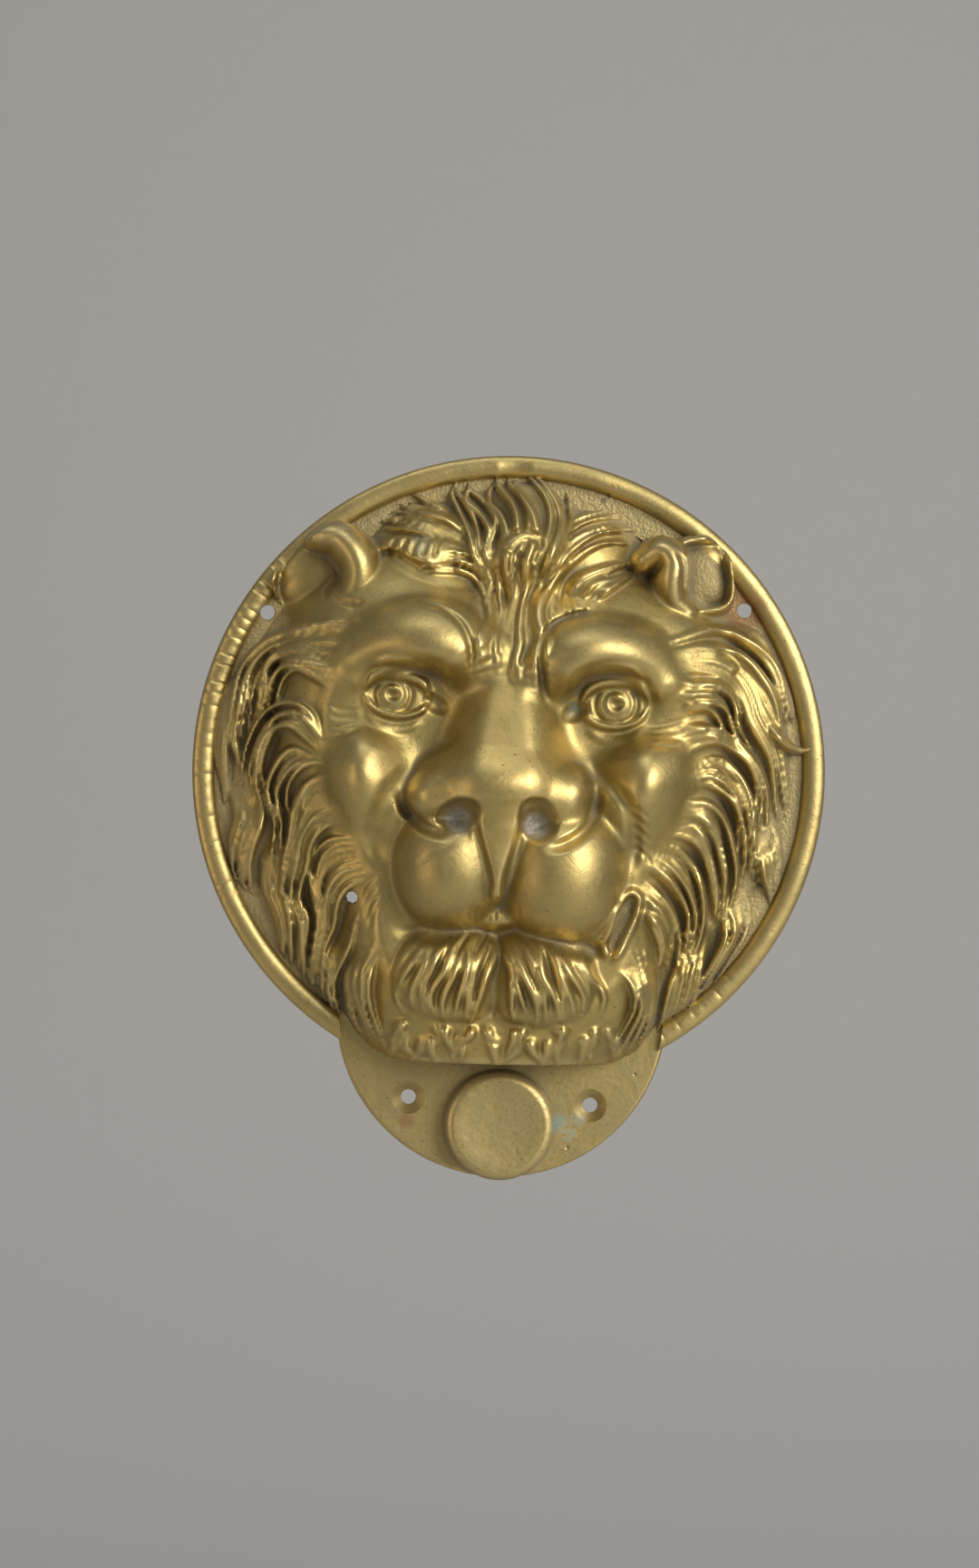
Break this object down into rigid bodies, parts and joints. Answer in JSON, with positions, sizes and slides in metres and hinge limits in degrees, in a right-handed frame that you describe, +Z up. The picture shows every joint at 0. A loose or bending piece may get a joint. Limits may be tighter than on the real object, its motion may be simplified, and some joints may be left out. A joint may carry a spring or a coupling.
{
  "type": "lion head wall mask",
  "caption": "Round cast brass lion head back plate with a mane inside a raised rim, screw holes, and a lower tab that carries a round strike boss.",
  "frame": {"origin": "on the flat back of the lower tab, straight behind the middle of the strike boss, where the mask bears on the wall or door", "axes": "+Z up the mask, +X to the right as one looks at the face, +Y into the wall, so the face looks along -Y"},
  "size_m": [0.175, 0.0505, 0.1999],
  "materials": {
    "brass": "satin, worn bright on the high parts and dark in the hollows"
  },
  "bodies": {
    "root": {"lion_mask": "brass"}
  },
  "joints": []
}
